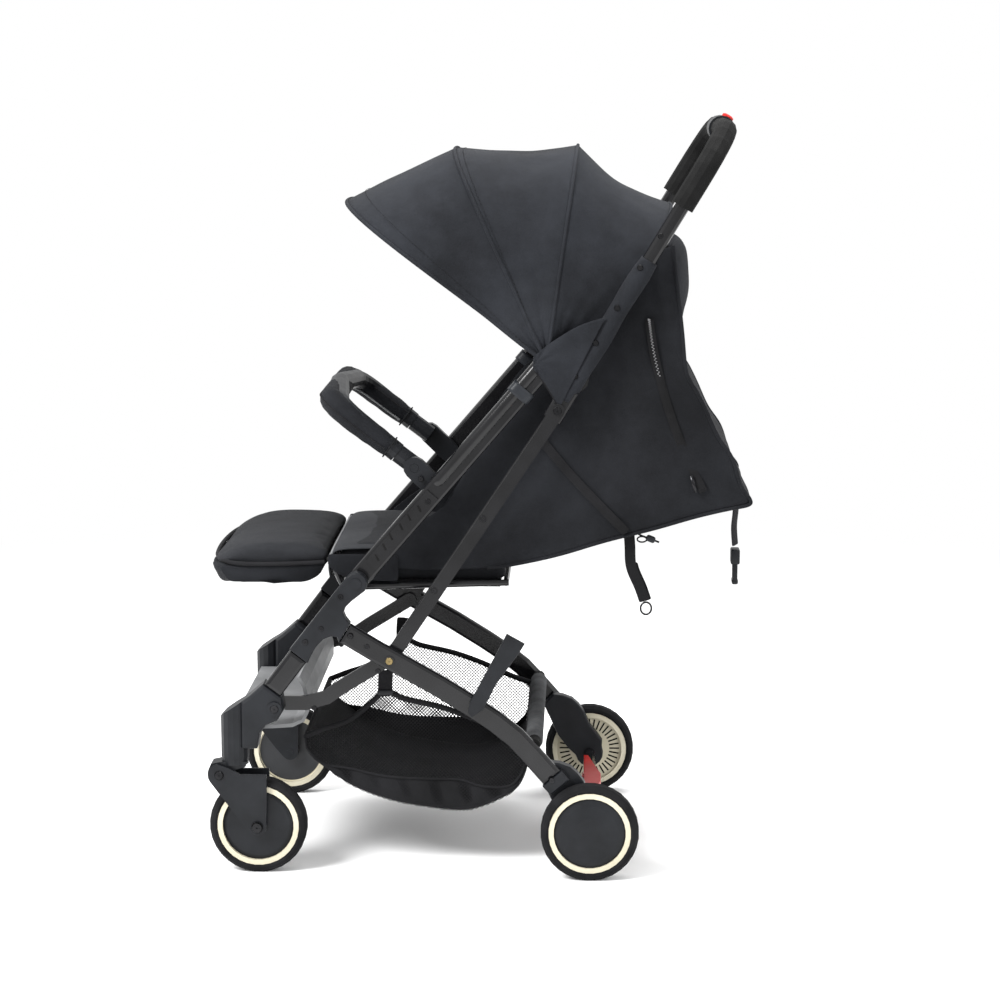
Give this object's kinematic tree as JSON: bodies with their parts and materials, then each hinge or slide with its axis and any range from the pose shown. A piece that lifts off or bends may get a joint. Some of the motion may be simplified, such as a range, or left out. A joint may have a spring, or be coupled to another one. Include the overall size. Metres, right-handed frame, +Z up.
{
  "type": "compact stroller",
  "caption": "Compact folding stroller with a canopy, padded seat and leg rest, belly bar, foam handle, swivelling sprung front casters, a braked rear axle and a mesh basket.",
  "frame": {"origin": "on the floor, midway along the length and on the middle plane", "axes": "+Z up, -X the way the stroller faces, -Y its left side"},
  "size_m": [0.756, 0.487, 1.0438],
  "materials": {
    "tube": "satin black paint",
    "steel": "dull steel",
    "plastic": "fine grained matte",
    "grey_plastic": "light grey matte",
    "ivory": "ivory moulded",
    "red": "semi gloss",
    "tyre": "matte solid foam rubber",
    "foam": "closed-cell foam",
    "fabric": "charcoal woven cloth",
    "mesh": "open mesh with bound edges"
  },
  "bodies": {
    "chassis": {"caster_housing_left": "plastic", "caster_housing_right": "plastic", "y_bracket_left": "plastic", "y_bracket_right": "plastic", "front_leg_left": "tube", "front_leg_right": "tube", "rear_leg_left": "tube", "rear_leg_right": "tube", "brace_left": "tube", "brace_right": "tube", "rear_housing_left": "plastic", "rear_housing_right": "plastic", "rear_crossbar": "foam", "rear_axle": "steel", "footrest_panel": "grey_plastic", "fold_hook": "plastic", "seat_frame": "tube", "seat_board": "fabric", "seat_pad": "fabric", "basket": "mesh"},
    "caster_left": {"caster_yoke_left": "plastic"},
    "caster_right": {"caster_yoke_right": "plastic"},
    "fork_left": {"fork_left": "plastic"},
    "fork_right": {"fork_right": "plastic"},
    "front_wheel_left": {"front_tyre_left": "tyre", "front_rim_left": "ivory", "front_cap_left": "plastic"},
    "front_wheel_right": {"front_tyre_right": "tyre", "front_rim_right": "ivory", "front_cap_right": "plastic"},
    "rear_wheel_left": {"rear_tyre_left": "tyre", "rear_rim_left": "ivory", "rear_cap_left": "plastic"},
    "rear_wheel_right": {"rear_tyre_right": "tyre", "rear_rim_right": "ivory", "rear_cap_right": "plastic"},
    "brake": {"brake_pedal": "red"},
    "leg_rest": {"leg_rest": "fabric"},
    "main_frame": {"main_tube_left": "tube", "main_tube_right": "tube", "belly_socket_left": "plastic", "belly_socket_right": "plastic", "seat_shell": "fabric", "canopy_bow_rear": "steel", "canopy_rear": "fabric", "canopy_top": "fabric"},
    "backrest": {"backrest": "fabric"},
    "struts": {"strut_left": "tube", "strut_right": "tube"},
    "handle": {"handle_tube": "tube", "handle_grip_left": "foam", "handle_grip_right": "foam", "handle_centre": "plastic"},
    "fold_button": {"fold_button": "red"},
    "belly_bar": {"belly_bar": "fabric"},
    "belly_button_left": {"belly_button_left": "plastic"},
    "belly_button_right": {"belly_button_right": "plastic"},
    "canopy_mid": {"canopy_bow_mid": "steel", "canopy_front": "fabric"},
    "canopy_tip": {"canopy_bow_front": "steel"}
  },
  "joints": [
    {"name": "frame_fold", "type": "hinge", "parent": "chassis", "child": "main_frame", "pos_m": [-0.164, 0, 0.412], "axis": [0, 1, 0], "range_deg": [0, 56.4], "deforming": ["seat_pad", "backrest", "seat_shell"]},
    {"name": "handle_fold", "type": "hinge", "parent": "main_frame", "child": "handle", "pos_m": [0.095, 0, 0.713], "axis": [0, 1, 0], "range_deg": [-170.1, 0]},
    {"name": "strut_fold", "type": "hinge", "parent": "chassis", "child": "struts", "pos_m": [-0.119, 0, 0.305], "axis": [0, 1, 0], "range_deg": [0, 42.7]},
    {"name": "canopy_fold", "type": "hinge", "parent": "main_frame", "child": "canopy_mid", "pos_m": [0.095, 0, 0.713], "axis": [0, 1, 0], "range_deg": [0, 28], "deforming": ["canopy_top"]},
    {"name": "visor_fold", "type": "hinge", "parent": "canopy_mid", "child": "canopy_tip", "pos_m": [0.095, 0, 0.713], "axis": [0, 1, 0], "range_deg": [0, 26], "deforming": ["canopy_front"]},
    {"name": "recline", "type": "hinge", "parent": "main_frame", "child": "backrest", "pos_m": [0.056, 0, 0.44], "axis": [0, 1, 0], "range_deg": [0, 16], "deforming": ["seat_shell"]},
    {"name": "leg_rest_tilt", "type": "hinge", "parent": "chassis", "child": "leg_rest", "pos_m": [-0.205, 0, 0.436], "axis": [0, 1, 0], "range_deg": [-60, 0]},
    {"name": "caster_swivel_left", "type": "hinge", "parent": "chassis", "child": "caster_left", "pos_m": [-0.3355, -0.2015, 0.15], "axis": [0, 0, 1], "continuous": true},
    {"name": "caster_swivel_right", "type": "hinge", "parent": "chassis", "child": "caster_right", "pos_m": [-0.3355, 0.2015, 0.15], "axis": [0, 0, 1], "continuous": true},
    {"name": "suspension_left", "type": "hinge", "parent": "caster_left", "child": "fork_left", "pos_m": [-0.356, -0.2015, 0.141], "axis": [0, 1, 0], "range_deg": [-7, 0], "stiffness_Nm_per_rad": 40, "springref_deg": 5.73},
    {"name": "suspension_right", "type": "hinge", "parent": "caster_right", "child": "fork_right", "pos_m": [-0.356, 0.2015, 0.141], "axis": [0, 1, 0], "range_deg": [-7, 0], "stiffness_Nm_per_rad": 40, "springref_deg": 5.73},
    {"name": "front_wheel_spin_left", "type": "hinge", "parent": "fork_left", "child": "front_wheel_left", "pos_m": [-0.304, -0.2015, 0.0675], "axis": [0, 1, 0], "continuous": true},
    {"name": "front_wheel_spin_right", "type": "hinge", "parent": "fork_right", "child": "front_wheel_right", "pos_m": [-0.304, 0.2015, 0.0675], "axis": [0, 1, 0], "continuous": true},
    {"name": "rear_wheel_spin_left", "type": "hinge", "parent": "chassis", "child": "rear_wheel_left", "pos_m": [0.1565, -0.2275, 0.0675], "axis": [0, 1, 0], "continuous": true},
    {"name": "rear_wheel_spin_right", "type": "hinge", "parent": "chassis", "child": "rear_wheel_right", "pos_m": [0.1565, 0.2275, 0.0675], "axis": [0, 1, 0], "continuous": true},
    {"name": "brake_press", "type": "hinge", "parent": "chassis", "child": "brake", "pos_m": [0.1565, 0, 0.0675], "axis": [0, 1, 0], "range_deg": [-15, 0]},
    {"name": "belly_bar_slide", "type": "slide", "parent": "main_frame", "child": "belly_bar", "axis": [-0.7986, 0, 0.6018], "range_m": [0, 0.06]},
    {"name": "belly_button_press_left", "type": "slide", "parent": "main_frame", "child": "belly_button_left", "axis": [0, 1, 0], "range_m": [0, 0.002], "stiffness_N_per_m": 400},
    {"name": "belly_button_press_right", "type": "slide", "parent": "main_frame", "child": "belly_button_right", "axis": [0, -1, 0], "range_m": [0, 0.002], "stiffness_N_per_m": 400},
    {"name": "fold_button_press", "type": "slide", "parent": "handle", "child": "fold_button", "axis": [-0.5165, 0, -0.8563], "range_m": [0, 0.003], "stiffness_N_per_m": 400}
  ],
  "couplings": [
    {"joint": "handle_fold", "follows": "frame_fold", "ratio": -3.0142},
    {"joint": "strut_fold", "follows": "frame_fold", "ratio": 0.7562}
  ]
}
